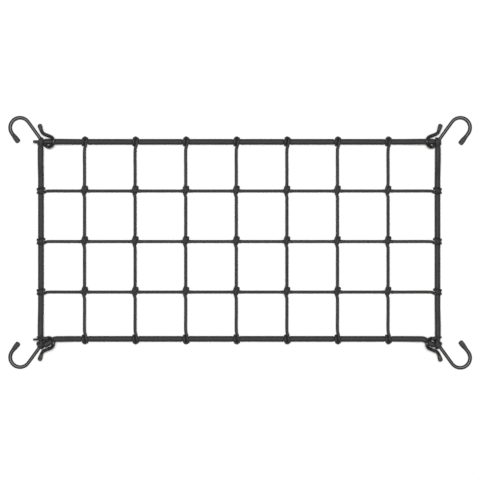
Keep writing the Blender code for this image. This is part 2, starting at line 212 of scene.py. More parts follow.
def principled(name: str, **values: Any) -> tuple[bpy.types.Material, bpy.types.NodeTree, Any]:
    """Makes a material whose shader has the given values.

    Args:
        name: The material's name.
        values: Values for the shader's inputs, with _ for a space in their names.

    Returns:
        The material, its tree and its shader node.
    """
    made = bpy.data.materials.new(name)
    made.use_nodes = True
    shader = made.node_tree.nodes["Principled BSDF"]
    for key, value in values.items():
        shader.inputs[key.replace("_", " ")].default_value = value
    return made, made.node_tree, shader


def mottle(tree: bpy.types.NodeTree, size_mm: float, detail: float) -> bpy.types.NodeSocket:
    """Makes soft patches of a real size on a piece's own coordinates.

    Args:
        tree: The material's tree.
        size_mm: About how wide a patch is.
        detail: How much finer structure it has.

    Returns:
        Socket of the patches, mostly from 0.3 to 0.7.
    """
    own = add(tree, "ShaderNodeTexCoord").outputs["Object"]
    settings = {"Vector": own, "Scale": 1 / (size_mm * MM), "Detail": detail}
    return add(tree, "ShaderNodeTexNoise", settings).outputs[0]


def blend(
    tree: bpy.types.NodeTree, share: bpy.types.NodeSocket, low: Any, high: Any
) -> bpy.types.NodeSocket:
    """Goes from one colour to another.

    Args:
        tree: The material's tree.
        share: Socket that is 0 for low and 1 for high.
        low: The first colour, or a socket of it.
        high: The second colour.

    Returns:
        Socket of the mixed colour.
    """
    return add(tree, "ShaderNodeMix", {"Factor": share, 6: low, 7: high}, data_type="RGBA").outputs[2]


@dataclass(frozen=True)
class BraidedPolyester:
    """Textured polyester yarn, braided: near black and dull, with painted shade that makes it darkest
    between its strands.
    """

    name: str
    strands: int
    filaments: int = 5
    # Painted shade: the colour in the grooves between strands, darker than the yarn.
    groove_shade: str = "#151516"
    yarn: str = "#2b2b2c"
    worn: str = "#383839"
    patch_mm: float = 9.0
    relief_mm: float = 0.18
    filament_relief: float = 0.18  # as a share of a strand's

    def material(self) -> bpy.types.Material:
        """Builds the material, with its pattern on the cord's own attribute.

        Returns:
            The material.
        """
        made, tree, shader = principled(self.name, Roughness=0.56, Specular_IOR_Level=0.42)
        place = add(tree, "ShaderNodeAttribute", attribute_name=PLACE_ATTRIBUTE)
        parts = add(tree, "ShaderNodeSeparateXYZ", {0: place.outputs["Vector"]})
        angle = calculate(tree, "ARCTAN2", parts.outputs[1], parts.outputs[0])
        around = calculate(tree, "MULTIPLY", angle, self.strands / (2 * math.pi))
        along = parts.outputs[2]
        height = PATTERN.height(tree, around, along)
        # Fine filaments lie along each strand, whichever hand it has.
        turns = self.filaments * 2 * math.pi
        thread = calculate(tree, "MULTIPLY", calculate(tree, "ADD", around, along), turns)
        other = calculate(tree, "MULTIPLY", calculate(tree, "SUBTRACT", around, along), turns)
        ribs = calculate(
            tree, "MULTIPLY", calculate(tree, "SINE", thread), calculate(tree, "SINE", other)
        )
        # Painted shade makes the grooves between strands darkest, and the backs of the strands are faded
        # in patches.
        colour = blend(tree, height, linear(self.groove_shade), linear(self.yarn))
        fading = calculate(tree, "MULTIPLY", mottle(tree, self.patch_mm, 3.0), height)
        faded = blend(tree, fading, colour, linear(self.worn))
        tree.links.new(faded, shader.inputs["Base Color"])
        surface = calculate(tree, "MULTIPLY_ADD", ribs, self.filament_relief, height)
        settings = {"Height": surface, "Distance": self.relief_mm * MM, "Strength": 0.7}
        bump = add(tree, "ShaderNodeBump", settings)
        tree.links.new(bump.outputs[0], shader.inputs["Normal"])
        return made


@dataclass(frozen=True)
class NaturalLatex:
    """Extruded natural rubber: cream, faintly translucent looking, with a dusty bloom."""

    name: str = "natural latex"
    body: str = "#c9b48c"
    bloom: str = "#ded0b0"
    patch_mm: float = 3.0

    def material(self) -> bpy.types.Material:
        """Builds the material.

        Returns:
            The material.
        """
        made, tree, shader = principled(self.name, Roughness=0.7)
        patches = mottle(tree, self.patch_mm, 4.0)
        colour = blend(tree, patches, linear(self.body), linear(self.bloom))
        tree.links.new(colour, shader.inputs["Base Color"])
        return made


@dataclass(frozen=True)
class CoatedSteelWire:
    """Drawn steel wire with a black powder coat: glossy, with a fine orange peel."""

    name: str = "black powder coated steel wire"
    coat: str = "#161617"
    rubbed: str = "#242425"
    roughness: tuple[float, float] = (0.34, 0.38)
    peel_mm: float = 0.8
    peel_depth_mm: float = 0.02
    rub_mm: float = 6.0

    def material(self) -> bpy.types.Material:
        """Builds the material.

        Returns:
            The material.
        """
        made, tree, shader = principled(self.name)
        rub = mottle(tree, self.rub_mm, 5.0)
        colour = blend(tree, rub, linear(self.coat), linear(self.rubbed))
        tree.links.new(colour, shader.inputs["Base Color"])
        # Handling dulls the gloss a little in patches.
        smooth, dull = self.roughness
        rough = add(tree, "ShaderNodeMapRange", {"Value": rub, 3: smooth, 4: dull})
        tree.links.new(rough.outputs[0], shader.inputs["Roughness"])
        peel = mottle(tree, self.peel_mm, 1.0)
        settings = {"Height": peel, "Distance": self.peel_depth_mm * MM, "Strength": 0.05}
        bump = add(tree, "ShaderNodeBump", settings)
        tree.links.new(bump.outputs[0], shader.inputs["Normal"])
        return made


@dataclass(frozen=True)
class DippedVinyl:
    """Soft vinyl, dipped: charcoal, matte and mottled where it cured unevenly."""

    name: str = "dipped vinyl"
    dark: str = "#2a2a2b"
    light: str = "#4b4b4c"
    mottle_mm: float = 1.6
    dimple_mm: float = 0.12

    def material(self) -> bpy.types.Material:
        """Builds the material.

        Returns:
            The material.
        """
        made, tree, shader = principled(self.name, Roughness=0.66, Specular_IOR_Level=0.35)
        patches = mottle(tree, self.mottle_mm, 4.0)
        spread = add(tree, "ShaderNodeMapRange", {"Value": patches, 1: 0.35, 2: 0.68})
        colour = blend(tree, spread.outputs[0], linear(self.dark), linear(self.light))
        tree.links.new(colour, shader.inputs["Base Color"])
        settings = {"Height": patches, "Distance": self.dimple_mm * MM, "Strength": 0.5}
        bump = add(tree, "ShaderNodeBump", settings)
        tree.links.new(bump.outputs[0], shader.inputs["Normal"])
        return made


@dataclass(frozen=True)
class WhiteBoard:
    """Painted board under the net: white and matte, with a faint grain."""

    name: str = "white painted board"
    low: str = "#f2f2f1"
    high: str = "#fafaf9"
    grain_mm: float = 40.0

    def material(self) -> bpy.types.Material:
        """Builds the material.

        Returns:
            The material.
        """
        made, tree, shader = principled(self.name, Roughness=0.9, Specular_IOR_Level=0.2)
        grain = mottle(tree, self.grain_mm, 2.0)
        colour = blend(tree, grain, linear(self.low), linear(self.high))
        tree.links.new(colour, shader.inputs["Base Color"])
        return made


# ---------------------------------------------------------------- routes


def smoothstep(value: float) -> float:
    """Runs from 0 to 1 with level ends as value runs from 0 to 1."""
    value = min(max(value, 0.0), 1.0)
    return value * value * (3 - 2 * value)


def flowing(stations: Sequence[Station], pieces: int = 6) -> list[Station]:
    """Lays a smooth curve through stations.

    Args:
        stations: Points and radii that the route goes through.
        pieces: How many pieces each stretch is cut into.

    Returns:
        The stations of the finer route.
    """
    rows = np.array([(*point, radius) for point, radius in stations])
    padded = np.vstack([2 * rows[0] - rows[1], rows, 2 * rows[-1] - rows[-2]])
    gaps = np.linalg.norm(np.diff(padded[:, :3], axis=0), axis=1) ** 0.5 + 1e-9
    found = []
    for i in range(1, len(padded) - 2):
        a, b, c, d = padded[i - 1 : i + 3]
        first, second, third = gaps[i - 1], gaps[i], gaps[i + 1]
        out = ((b - a) / first - (c - a) / (first + second) + (c - b) / second) * second
        into = ((c - b) / second - (d - b) / (second + third) + (d - c) / third) * second
        for k in range(pieces):
            t = k / pieces
            row = (
                (2 * t**3 - 3 * t**2 + 1) * b
                + (t**3 - 2 * t**2 + t) * out
                + (3 * t**2 - 2 * t**3) * c
                + (t**3 - t**2) * into
            )
            found.append(row)
    found.append(rows[-1])
    return [((row[0], row[1], row[2]), row[3]) for row in found]


def relaxed(points: Sequence[Vector], gap: float = 1.2 * MM, passes: int = 5) -> list[Vector]:
    """Spaces the points of a route evenly and takes out its kinks.

    Args:
        points: The points of the route.
        gap: About how far apart the new points are.
        passes: How often each point moves towards its neighbours.

    Returns:
        The new points, with the same two ends.
    """
    rows = np.array([tuple(point) for point in points])
    places = np.concatenate([[0.0], np.cumsum(np.linalg.norm(np.diff(rows, axis=0), axis=1))])
    even = np.linspace(0.0, places[-1], round(places[-1] / gap) + 1)
    route = np.column_stack([np.interp(even, places, rows[:, axis]) for axis in range(3)])
    for _ in range(passes):
        route[1:-1] = (route[:-2] + 2 * route[1:-1] + route[2:]) / 4
    return [Vector(row) for row in route]


@dataclass(frozen=True)
class Knot:
    """The route of a cord through a knot, as listed points.

    Each row is across, along, up and the cord's thickness as a share of its full one.
    Along points out of the net, or up the net for a knot inside it.
    """

    rows_mm: tuple[tuple[float, float, float, float], ...]

    def stations(
        self, centre: Point, along: Point, across: Point, radius: float, backwards: bool = False
    ) -> list[Station]:
        """Places the knot.

        Args:
            centre: The middle of the cord that it is tied round.
            along: Unit direction of its along.
            across: Unit direction of its across.
            radius: Full radius of the tied cord.
            backwards: True to run from the last row to the first.

        Returns:
            The stations, in the order of the cord.
        """
        middle, far, side = Vector(centre), Vector(along), Vector(across)
        rows = reversed(self.rows_mm) if backwards else self.rows_mm
        made = []
        for over, out, up, share in rows:
            point = middle + (side * over + far * out + Vector((0, 0, up))) * MM
            made.append(((point.x, point.y, point.z), radius * share))
        return made


CROSSING_KNOT = Knot(
    (
        (0.0, 11.0, 2.5, 1.0),
        (-0.5, 8.0, 2.4, 0.98),
        (-2.1, 4.8, 2.0, 0.95),
        (-2.8, 1.6, 1.9, 0.95),
        (-2.5, -2.2, 1.5, 0.95),
        (-1.0, -4.4, -0.6, 0.95),
        (0.6, -3.0, -3.5, 0.95),
        (2.0, 0.8, -3.95, 0.95),
        (3.0, 4.6, -2.7, 0.95),
        (2.8, 5.9, 0.6, 0.95),
        (1.7, 4.7, 3.6, 0.95),
        (-0.1, 1.0, 4.3, 0.95),
        (-1.7, -2.6, 3.6, 0.95),
        (-1.2, -5.6, 2.7, 0.97),
        (-0.2, -8.4, 2.5, 0.99),
        (0.0, -11.0, 2.5, 1.0),
    )
)

EDGE_KNOT = Knot(
    (
        (0.0, -12.0, 2.5, 1.0),
        (0.5, -8.6, 2.6, 0.98),
        (1.7, -5.0, 3.0, 0.96),
        (2.4, -1.0, 3.9, 0.95),
        (3.3, 2.6, 3.4, 0.95),
        (3.4, 4.8, 0.0, 0.95),
        (1.9, 3.7, -3.3, 0.95),
        (-0.4, 0.0, -3.95, 0.95),
        (-1.8, -3.5, -2.8, 0.95),
        (-2.3, -4.5, 0.9, 0.95),
        (-2.3, -1.4, 3.9, 0.95),
        (-2.1, 2.2, 4.1, 0.95),
        (-1.5, 4.7, 2.6, 0.95),
        (0.3, 6.0, 1.6, 0.95),
        (2.2, 5.9, 0.6, 0.85),
    )
)

SIDE_KNOT = Knot(
    (
        (0.0, -12.0, -2.0, 1.0),
        (-0.2, -8.8, -1.8, 0.98),
        (-1.4, -6.0, -0.4, 0.96),
        (-2.4, -4.2, 2.2, 0.95),
        (-1.6, -0.6, 3.6, 0.95),
        (1.4, 3.2, 2.8, 0.95),
        (2.7, 4.6, -0.4, 0.95),
        (2.4, 2.8, -3.3, 0.95),
        (2.6, -0.8, -3.95, 0.95),
        (3.6, -4.0, -2.2, 0.95),
        (3.4, -4.4, 1.4, 0.95),
        (1.2, -1.0, 4.3, 0.95),
        (-1.4, 2.6, 3.6, 0.95),
        (-2.7, 4.5, 0.8, 0.93),
        (-1.8, 4.2, -1.2, 0.85),
    )
)

CORNER_KNOT = Knot(
    (
        (0.0, -17.0, 0.0, 1.0),
        (0.0, -12.0, 0.0, 1.0),
        (0.1, -8.0, 0.4, 0.94),
        (0.8, -3.9, 2.6, 0.74),
        (1.6, 0.0, 3.3, 0.65),
        (1.8, 3.2, 1.8, 0.65),
        (1.3, 3.7, -1.2, 0.65),
        (0.0, 1.4, -3.3, 0.65),
        (-1.2, -1.8, -3.2, 0.65),
        (-2.1, -3.8, -0.8, 0.65),
        (-2.1, -2.8, 2.2, 0.65),
        (-1.0, 0.4, 3.6, 0.65),
        (0.2, 3.0, 2.6, 0.62),
        (0.4, 3.2, 0.4, 0.55),
    )
)


BOUND_CORNER_KNOT = Knot(
    (
        (0.0, -19.0, 0.0, 1.0),
        (0.0, -15.0, 0.0, 1.0),
        (0.0, -11.0, 0.0, 0.86),
        (0.1, -7.6, 0.4, 0.86),
        *CORNER_KNOT.rows_mm[3:9],
        (-3.4, -2.4, -0.8, 0.65),
        (-3.3, -1.8, 2.0, 0.65),
        *CORNER_KNOT.rows_mm[11:],
    )
)


@dataclass(frozen=True)
class Layout:
    """Where the cords lie, read from the frame."""

    down_x: tuple[float, ...]
    across_y: tuple[float, ...]
    left: float
    right: float
    top: float
    bottom: float
    border_z: float
    corner_z: float
    down_above: float = 2.5 * MM
    across_below: float = 2.0 * MM
    lift_flat: float = 24.0 * MM
    lift_run: float = 36.0 * MM
    dip_depth: float = 9.0 * MM
    dip_flat: float = 4.0 * MM
    dip_run: float = 20.0 * MM

    @classmethod
    def from_frame(cls) -> "Layout":
        """Reads the lines of the cords from the boxes of their nodes and from the hinges.

        Returns:
            The layout.
        """

        def middle(node: str, axis: int) -> float:
            """The middle of a node's box on one axis."""
            low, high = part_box(node)
            return (low[axis] + high[axis]) / 2

        low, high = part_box("border_cord_top")
        half = (high.y - low.y) / 2
        hinge = next(j for j in frame["joints"] if j["name"] == "hook_top_left_swing")
        return cls(
            down_x=tuple(middle(f"mesh_cord_down_{i}", 0) for i in range(1, 8)),
            across_y=tuple(middle(f"mesh_cord_across_{i}", 1) for i in range(1, 4)),
            left=middle("border_cord_left", 0),
            right=middle("border_cord_right", 0),
            top=middle("border_cord_top", 1),
            bottom=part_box("border_cord_bottom")[1].y - half,
            border_z=low.z + half,
            corner_z=hinge["pos_m"][2],
        )

    def lift(self, from_corner: float) -> float:
        """Height of the border's centre at a distance from a corner."""
        down = smoothstep((from_corner - self.lift_flat) / self.lift_run)
        return self.corner_z + (self.border_z - self.corner_z) * down

    def dip(self, from_corner: float) -> float:
        """How far the bottom border hangs outside its line at a distance from a corner."""
        return self.dip_depth * (1 - smoothstep((from_corner - self.dip_flat) / self.dip_run))


# ---------------------------------------------------------------- tubes along a route


class Surface(Enum):
    """How a tube's surface is laid."""

    BRAIDED = "braided"
    SMOOTH = "smooth"


@dataclass(frozen=True)
class Gauge:
    """How finely a tube is made, and the size of its braid.

    The steps along it are a third of a braid unit, so that the strands never drift
    against the rings.
    """

    surface: Surface
    step: float
    sides: int
    strands: int = 1
    relief: float = 0.0


MESH_BRAID = Gauge(Surface.BRAIDED, 0.5 * MM, 24, 8, 0.16 * MM)
BORDER_BRAID = Gauge(Surface.BRAIDED, 0.63 * MM, 36, 12, 0.22 * MM)
CORE_TUBE = Gauge(Surface.SMOOTH, 1.6 * MM, 10)
WIRE_TUBE = Gauge(Surface.SMOOTH, 0.55 * MM, 28)
DIP_TUBE = Gauge(Surface.SMOOTH, 0.3 * MM, 40, relief=0.12 * MM)


class TubeTree:
    """The Geometry Nodes tree that lays a tube, braided or smooth, along a curve."""

    INPUTS: tuple[tuple[str, str, Any], ...] = (
        ("Step", "NodeSocketFloat", 0.001),
        ("Sides", "NodeSocketInt", 24),
        ("Strands", "NodeSocketInt", 8),
        ("Braid relief", "NodeSocketFloat", 0.0),
        ("Lump relief", "NodeSocketFloat", 0.0),
        ("Material", "NodeSocketMaterial", None),
    )
    STEPS_PER_UNIT = 3
    LUMP_MM = 4.0

    def __init__(self) -> None:
        """Builds the tree once, for all tubes."""
        self.tree = bpy.data.node_groups.new("cord or wire along a route", "GeometryNodeTree")
        self.keys: dict[str, str] = {}
        face = self.tree.interface
        face.new_socket("Geometry", in_out="INPUT", socket_type="NodeSocketGeometry")
        for name, kind, value in self.INPUTS:
            made = face.new_socket(name, in_out="INPUT", socket_type=kind)
            if value is not None:
                made.default_value = value
            self.keys[name] = made.identifier
        face.new_socket("Geometry", in_out="OUTPUT", socket_type="NodeSocketGeometry")
        self.build()

    def build(self) -> None:
        """Adds the nodes: resampled route, profile, tube, relief and material."""
        tree = self.tree
        given = add(tree, "NodeGroupInput").outputs
        route = add(
            tree,
            "GeometryNodeResampleCurve",
            {"Curve": given["Geometry"], "Length": given["Step"]},
            mode="LENGTH",
        )
        number = add(tree, "GeometryNodeInputIndex").outputs[0]
        along = calculate(tree, "DIVIDE", number, float(self.STEPS_PER_UNIT))
        kept_along = self.capture(route.outputs[0], along)
        circle = add(
            tree, "GeometryNodeCurvePrimitiveCircle", {"Resolution": given["Sides"], "Radius": 1.0}
        )
        turn = calculate(tree, "DIVIDE", number, given["Sides"])
        kept_turn = self.capture(circle.outputs[0], turn)
        tube = add(
            tree,
            "GeometryNodeCurveToMesh",
            {
                "Curve": kept_along.outputs[0],
                "Profile Curve": kept_turn.outputs[0],
                "Scale": add(tree, "GeometryNodeInputRadius").outputs[0],
                "Fill Caps": True,
            },
        )
        units, share = kept_along.outputs[1], kept_turn.outputs[1]
        height = PATTERN.height(tree, calculate(tree, "MULTIPLY", share, given["Strands"]), units)
        lumps = add(tree, "ShaderNodeTexNoise", {"Scale": 1 / (self.LUMP_MM * MM), "Detail": 1.0})
        braid = calculate(
            tree, "MULTIPLY", calculate(tree, "SUBTRACT", height, 0.5), given["Braid relief"]
        )
        lump = calculate(
            tree, "MULTIPLY", calculate(tree, "SUBTRACT", lumps.outputs[0], 0.5), given["Lump relief"]
        )
        normal = add(tree, "GeometryNodeInputNormal").outputs[0]
        push = add(
            tree,
            "ShaderNodeVectorMath",
            {0: normal, "Scale": calculate(tree, "ADD", braid, lump)},
            operation="SCALE",
        )
        moved = {"Geometry": tube.outputs[0], "Offset": push.outputs[0]}
        raised = add(tree, "GeometryNodeSetPosition", moved)
        angle = calculate(tree, "MULTIPLY", share, 2 * math.pi)
        place = add(
            tree,
            "ShaderNodeCombineXYZ",
            {0: calculate(tree, "COSINE", angle), 1: calculate(tree, "SINE", angle), 2: units},
        )
        named = add(
            tree,
            "GeometryNodeStoreNamedAttribute",
            {"Geometry": raised.outputs[0], "Name": PLACE_ATTRIBUTE, "Value": place.outputs[0]},
            data_type="FLOAT_VECTOR",
            domain="POINT",
        )
        real = add(tree, "GeometryNodeRealizeInstances", {0: named.outputs[0]})
        dressed = add(
            tree, "GeometryNodeSetMaterial", {"Geometry": real.outputs[0], "Material": given["Material"]}
        )
        add(tree, "NodeGroupOutput", {0: dressed.outputs[0]})

    def capture(self, geometry: bpy.types.NodeSocket, value: bpy.types.NodeSocket) -> bpy.types.Node:
        """Keeps a value on the points of a geometry.

        Args:
            geometry: Socket of the geometry.
            value: Socket of the value.

        Returns:
            The capturing node, whose second output is the kept value.
        """
        node = add(self.tree, "GeometryNodeCaptureAttribute", {"Geometry": geometry})
        node.capture_items.new("FLOAT", "kept")
        self.tree.links.new(value, node.inputs[1])
        return node

    def tube(
        self, name: str, stations: Sequence[Station], gauge: Gauge, look: bpy.types.Material
    ) -> bpy.types.Object:
        """Makes a tube along a route as a plain mesh object.

        Args:
            name: The new object's name.
            stations: Points and radii along the route.
            gauge: How finely it is made.
            look: Its material.

        Returns:
            The object, with its place in its mesh.
        """
        line = bpy.data.curves.new(name + " route", "CURVE")
        line.dimensions = "3D"
        spline = line.splines.new("POLY")
        spline.points.add(len(stations) - 1)
        spline.points.foreach_set("co", [v for point, _ in stations for v in (*point, 1.0)])
        spline.points.foreach_set("radius", [radius for _, radius in stations])
        guide = bpy.data.objects.new(name + " route", line)
        bpy.context.scene.collection.objects.link(guide)
        modifier = guide.modifiers.new("tube", "NODES")
        modifier.node_group = self.tree
        braided = gauge.surface is Surface.BRAIDED
        settings = {
            "Step": gauge.step,
            "Sides": gauge.sides,
            "Strands": gauge.strands,
            "Braid relief": gauge.relief if braided else 0.0,
            "Lump relief": 0.0 if braided else gauge.relief,
            "Material": look,
        }
        for key, value in settings.items():
            modifier[self.keys[key]] = value
        graph = bpy.context.evaluated_depsgraph_get()
        mesh = bpy.data.meshes.new_from_object(guide.evaluated_get(graph), depsgraph=graph)
        guide.modifiers.remove(modifier)
        bpy.data.objects.remove(guide)
        mesh.name = name
        mesh.shade_smooth()
        made = bpy.data.objects.new(name, mesh)
        bpy.context.scene.collection.objects.link(made)
        return made


def register(piece: bpy.types.Object, body: str, nodes: Iterable[str]) -> bpy.types.Object:
    """Ties a piece to its body and the nodes that it stands for.

    Args:
        piece: The finished piece.
        body: The body that it rides on.
        nodes: The nodes that it replaces.

    Returns:
        The piece.
    """
    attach(piece, body)
    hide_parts(*nodes)
    triangles = sum(len(face.vertices) - 2 for face in piece.data.polygons)
    log.info("%s: %d triangles on %s", piece.name, triangles, body)
    return piece


@dataclass
class Looks:
    """The materials, made once."""

    border: bpy.types.Material
    mesh: bpy.types.Material
    latex: bpy.types.Material
    wire: bpy.types.Material
    vinyl: bpy.types.Material

    @classmethod
    def make(cls) -> "Looks":
        """Builds every material of the net."""
        return cls(
            border=BraidedPolyester("braided polyester, border cord", BORDER_BRAID.strands).material(),
            mesh=BraidedPolyester("braided polyester, mesh cord", MESH_BRAID.strands).material(),
            latex=NaturalLatex().material(),
            wire=CoatedSteelWire().material(),
            vinyl=DippedVinyl().material(),
        )


# ---------------------------------------------------------------- sub-assemblies


@dataclass
class Cord:
    """One elastic cord: a braided sheath and the rubber core inside it."""

    tubes: TubeTree
    looks: Looks
    gauge: Gauge
    sheath_look: bpy.types.Material
    slot: str
    core_share: float = 0.5

    def build(self, name: str, sheath_node: str, core_node: str, stations: list[Station]) -> None:
        """Makes the sheath and the core along one route.

        Args:
            name: What the cord is called.
            sheath_node: The node that the sheath stands for.
            core_node: The node that the core stands for.
            stations: Points and radii along the route.
        """
        route = flowing(stations)
        sheath = self.tubes.tube(f"{name}_braid", route, self.gauge, self.sheath_look)
        register(sheath, NET_BODY, [sheath_node])
        inner = [(point, radius * self.core_share) for point, radius in route]
        core = self.tubes.tube(f"{name}_core", inner, CORE_TUBE, self.looks.latex)
        register(core, NET_BODY, [core_node])


@dataclass
class BorderCords:
    """The four thick cords round the net."""

    layout: Layout
    tubes: TubeTree
    looks: Looks
    radius: float = 4.3 * MM
    squeezed: float = 0.6
    squeezed_corner: float = 0.55
    squeeze_reach: float = 7.0 * MM
    tail_radius: float = 2.1 * MM
    tail_length: float = 11.1 * MM
    stub_length: float = 4.75 * MM
    station_gap: float = 3.0 * MM
    tail_taper: float = 4.0 * MM
    knot_room: float = 20.0 * MM

    def thickness(self, place: float, ties: Iterable[float], corners: Iterable[float]) -> float:
        """Radius at a place along a cord, which is squeezed under each knot.

        Args:
            place: The coordinate along the cord.
            ties: Places of the knots of thin cord.
            corners: Places of the corner knots.

        Returns:
            The radius there.
        """
        share = 1.0
        for centres, least in ((ties, self.squeezed), (corners, self.squeezed_corner)):
            for centre in centres:
                away = abs(place - centre) - self.squeeze_reach / 3
                near = 1 - smoothstep(away / (self.squeeze_reach / 2))
                share = min(share, 1 - (1 - least) * near)
        return self.radius * share

    def across(self, name: str, edge_y: float, dips: bool, tail: bool) -> None:
        """Makes the top or the bottom cord.

        Args:
            name: Its name in the frame, top or bottom.
            edge_y: The line that it lies on.
            dips: True if it hangs out of the line towards the corners.
            tail: True if its left end tapers to a thin tail.
        """
        lay = self.layout
        corners = (lay.left, lay.right)
        start = lay.left - (self.tail_length if tail else self.stub_length)
        end = lay.right + self.stub_length
        count = round((end - start) / self.station_gap)
        stations: list[Station] = []
        for i in range(count + 1):
            x = start + (end - start) * i / count
            inside = min(x - lay.left, lay.right - x)
            out = lay.dip(max(inside, 0.0)) if dips else 0.0
            radius = self.thickness(x, lay.down_x, corners)
            if tail and x < lay.left:
                full = smoothstep(1 + inside / self.tail_taper)
                radius = min(radius, self.tail_radius + (self.radius - self.tail_radius) * full)
            stations.append(((x, edge_y - out, lay.lift(max(inside, 0.0))), radius))
        cord = Cord(self.tubes, self.looks, BORDER_BRAID, self.looks.border, "border_sheath")
        cord.build(f"border_{name}", f"border_cord_{name}", f"border_core_{name}", stations)

    def side(self, name: str, edge_x: float) -> None:
        """Makes the left or the right cord, tied round the top and the bottom one.

        Args:
            name: Its name in the frame, left or right.
            edge_x: The line that it lies on.
        """
        lay = self.layout
        low, high = lay.bottom - lay.dip_depth, lay.top
        sign = 1.0 if edge_x < 0 else -1.0
        centre_low, centre_high = (edge_x, low, lay.corner_z), (edge_x, high, lay.corner_z)
        stations = BOUND_CORNER_KNOT.stations(
            centre_low, (0, -1, 0), (sign, 0, 0), self.radius, backwards=True
        )
        free = high - low - 2 * self.knot_room
        count = round(free / self.station_gap)
        for i in range(count + 1):
            y = low + self.knot_room + free * i / count
            radius = self.thickness(y, lay.across_y, ())
            stations.append(((edge_x, y, lay.lift(min(y - low, high - y))), radius))
        stations += CORNER_KNOT.stations(centre_high, (0, 1, 0), (sign, 0, 0), self.radius)
        cord = Cord(self.tubes, self.looks, BORDER_BRAID, self.looks.border, "border_sheath")
        cord.build(f"border_{name}", f"border_cord_{name}", f"border_core_{name}", stations)

    def build(self) -> None:
        """Makes all four cords."""
        self.across("top", self.layout.top, dips=False, tail=True)
        self.across("bottom", self.layout.bottom, dips=True, tail=False)
        self.side("left", self.layout.left)
        self.side("right", self.layout.right)


@dataclass
class MeshCords:
    """The ten thin cords, knotted at every crossing."""

    layout: Layout
    tubes: TubeTree
    looks: Looks
    radius: float = 2.3 * MM
    steady: float = 15.0 * MM
    swelling: tuple[tuple[float, float], ...] = (
        (-24 * MM, 1.0),
        (-12 * MM, 1.0),
        (-8.5 * MM, 1.02),
        (-6.5 * MM, 1.14),
        (-3 * MM, 1.0),
        (3 * MM, 1.0),
        (6.5 * MM, 1.14),
        (8.5 * MM, 1.02),
        (12 * MM, 1.0),
        (24 * MM, 1.0),
    )

    def cord(self) -> Cord:
        """The kind of cord that they are made of."""
        return Cord(self.tubes, self.looks, MESH_BRAID, self.looks.mesh, "mesh_sheath")

    def down(self, number: int, x: float) -> None:
        """Makes a cord that runs along the short side.

        Args:
            number: Its number from the left.
            x: The line that it lies on.
        """
        lay = self.layout
        z = lay.border_z
        up, right = (0, 1, 0), (1, 0, 0)
        stations = EDGE_KNOT.stations((x, lay.top, z), up, right, self.radius, backwards=True)
        for y in lay.across_y:
            stations.append(((x, y + 2 * self.steady, z + lay.down_above), self.radius))
            stations.append(((x, y + self.steady, z + lay.down_above), self.radius))
            stations += CROSSING_KNOT.stations((x, y, z), up, right, self.radius)
            stations.append(((x, y - self.steady, z + lay.down_above), self.radius))
            stations.append(((x, y - 2 * self.steady, z + lay.down_above), self.radius))
        stations += EDGE_KNOT.stations((x, lay.bottom, z), (0, -1, 0), right, self.radius)
        name = f"mesh_cord_down_{number}"
        self.cord().build(f"mesh_down_{number}", name, name.replace("cord", "core"), stations)

    def across(self, number: int, y: float) -> None:
        """Makes a cord that runs along the long side.

        Args:
            number: Its number from the top.
            y: The line that it lies on.
        """
        lay = self.layout
        up = (0, 1, 0)
        stations = SIDE_KNOT.stations(
            (lay.left, y, lay.border_z), (-1, 0, 0), up, self.radius, backwards=True
        )
        z = lay.border_z - lay.across_below
        for x in lay.down_x:
            for away, share in self.swelling:
                stations.append(((x + away, y, z), self.radius * share))
        stations += SIDE_KNOT.stations((lay.right, y, lay.border_z), (1, 0, 0), up, self.radius)
        name = f"mesh_cord_across_{number}"
        self.cord().build(f"mesh_across_{number}", name, name.replace("cord", "core"), stations)

    def build(self) -> None:
        """Makes all ten cords."""
        for i, x in enumerate(self.layout.down_x):
            self.down(i + 1, x)
        for i, y in enumerate(self.layout.across_y):
            self.across(i + 1, y)


@dataclass
class CornerBindings:
    """The thin cords bound round the bottom corners."""

    layout: Layout
    tubes: TubeTree
    looks: Looks
    radius: float = 1.6 * MM
    inner_radius: float = 2.5 * MM
    reach: float = 4.2 * MM
    pitch: float = 3.7 * MM
    bend: float = 4.5 * MM
    inner_side: float = 0.8 * MM
    outer_side: float = 0.6 * MM
    outer_end: tuple[float, float] = (10.6 * MM, 2.0 * MM)
    steps: int = 14

    def bind(self, side: str, x: float, outward: float, inner_end: float, sticks_out: bool) -> None:
        """Makes the binding of one corner.

        Args:
            side: left or right.
            x: The line of the side border.
            outward: -1 or 1, the way out of the net.
            inner_end: How far its inner end reaches into the net.
            sticks_out: True if its outer end sticks out after a whole turn.
        """
        y, z = self.layout.bottom, self.layout.corner_z
        stations: list[Station] = []
        first = self.steps // 2
        if sticks_out:
            first = 0
            reach, rise = self.outer_end
            stations.append(((x + outward * reach, y - self.outer_side, z + rise), self.radius))
        for i in range(first, self.steps + 1):
            turn = 2 * math.pi * i / self.steps
            place = x - outward * self.reach * math.sin(turn)
            point = (place, y + self.pitch * i / self.steps, z + self.reach * math.cos(turn))
            stations.append((point, self.radius))
        level = z + self.reach + self.inner_radius - self.radius
        stations.append(((x - outward * self.bend, y + self.inner_side * 2, level), self.inner_radius))
        stations.append(((x - outward * inner_end, y + self.inner_side, level), self.inner_radius))
        name = f"corner_binding_{side}"
        made = self.tubes.tube(f"binding_{side}_braid", flowing(stations), MESH_BRAID, self.looks.mesh)
        register(made, NET_BODY, [name])

    def build(self) -> None:
        """Makes both bindings."""
        self.bind("left", self.layout.left, -1.0, 11.6 * MM, True)
        self.bind("right", self.layout.right, 1.0, 8.9 * MM, False)


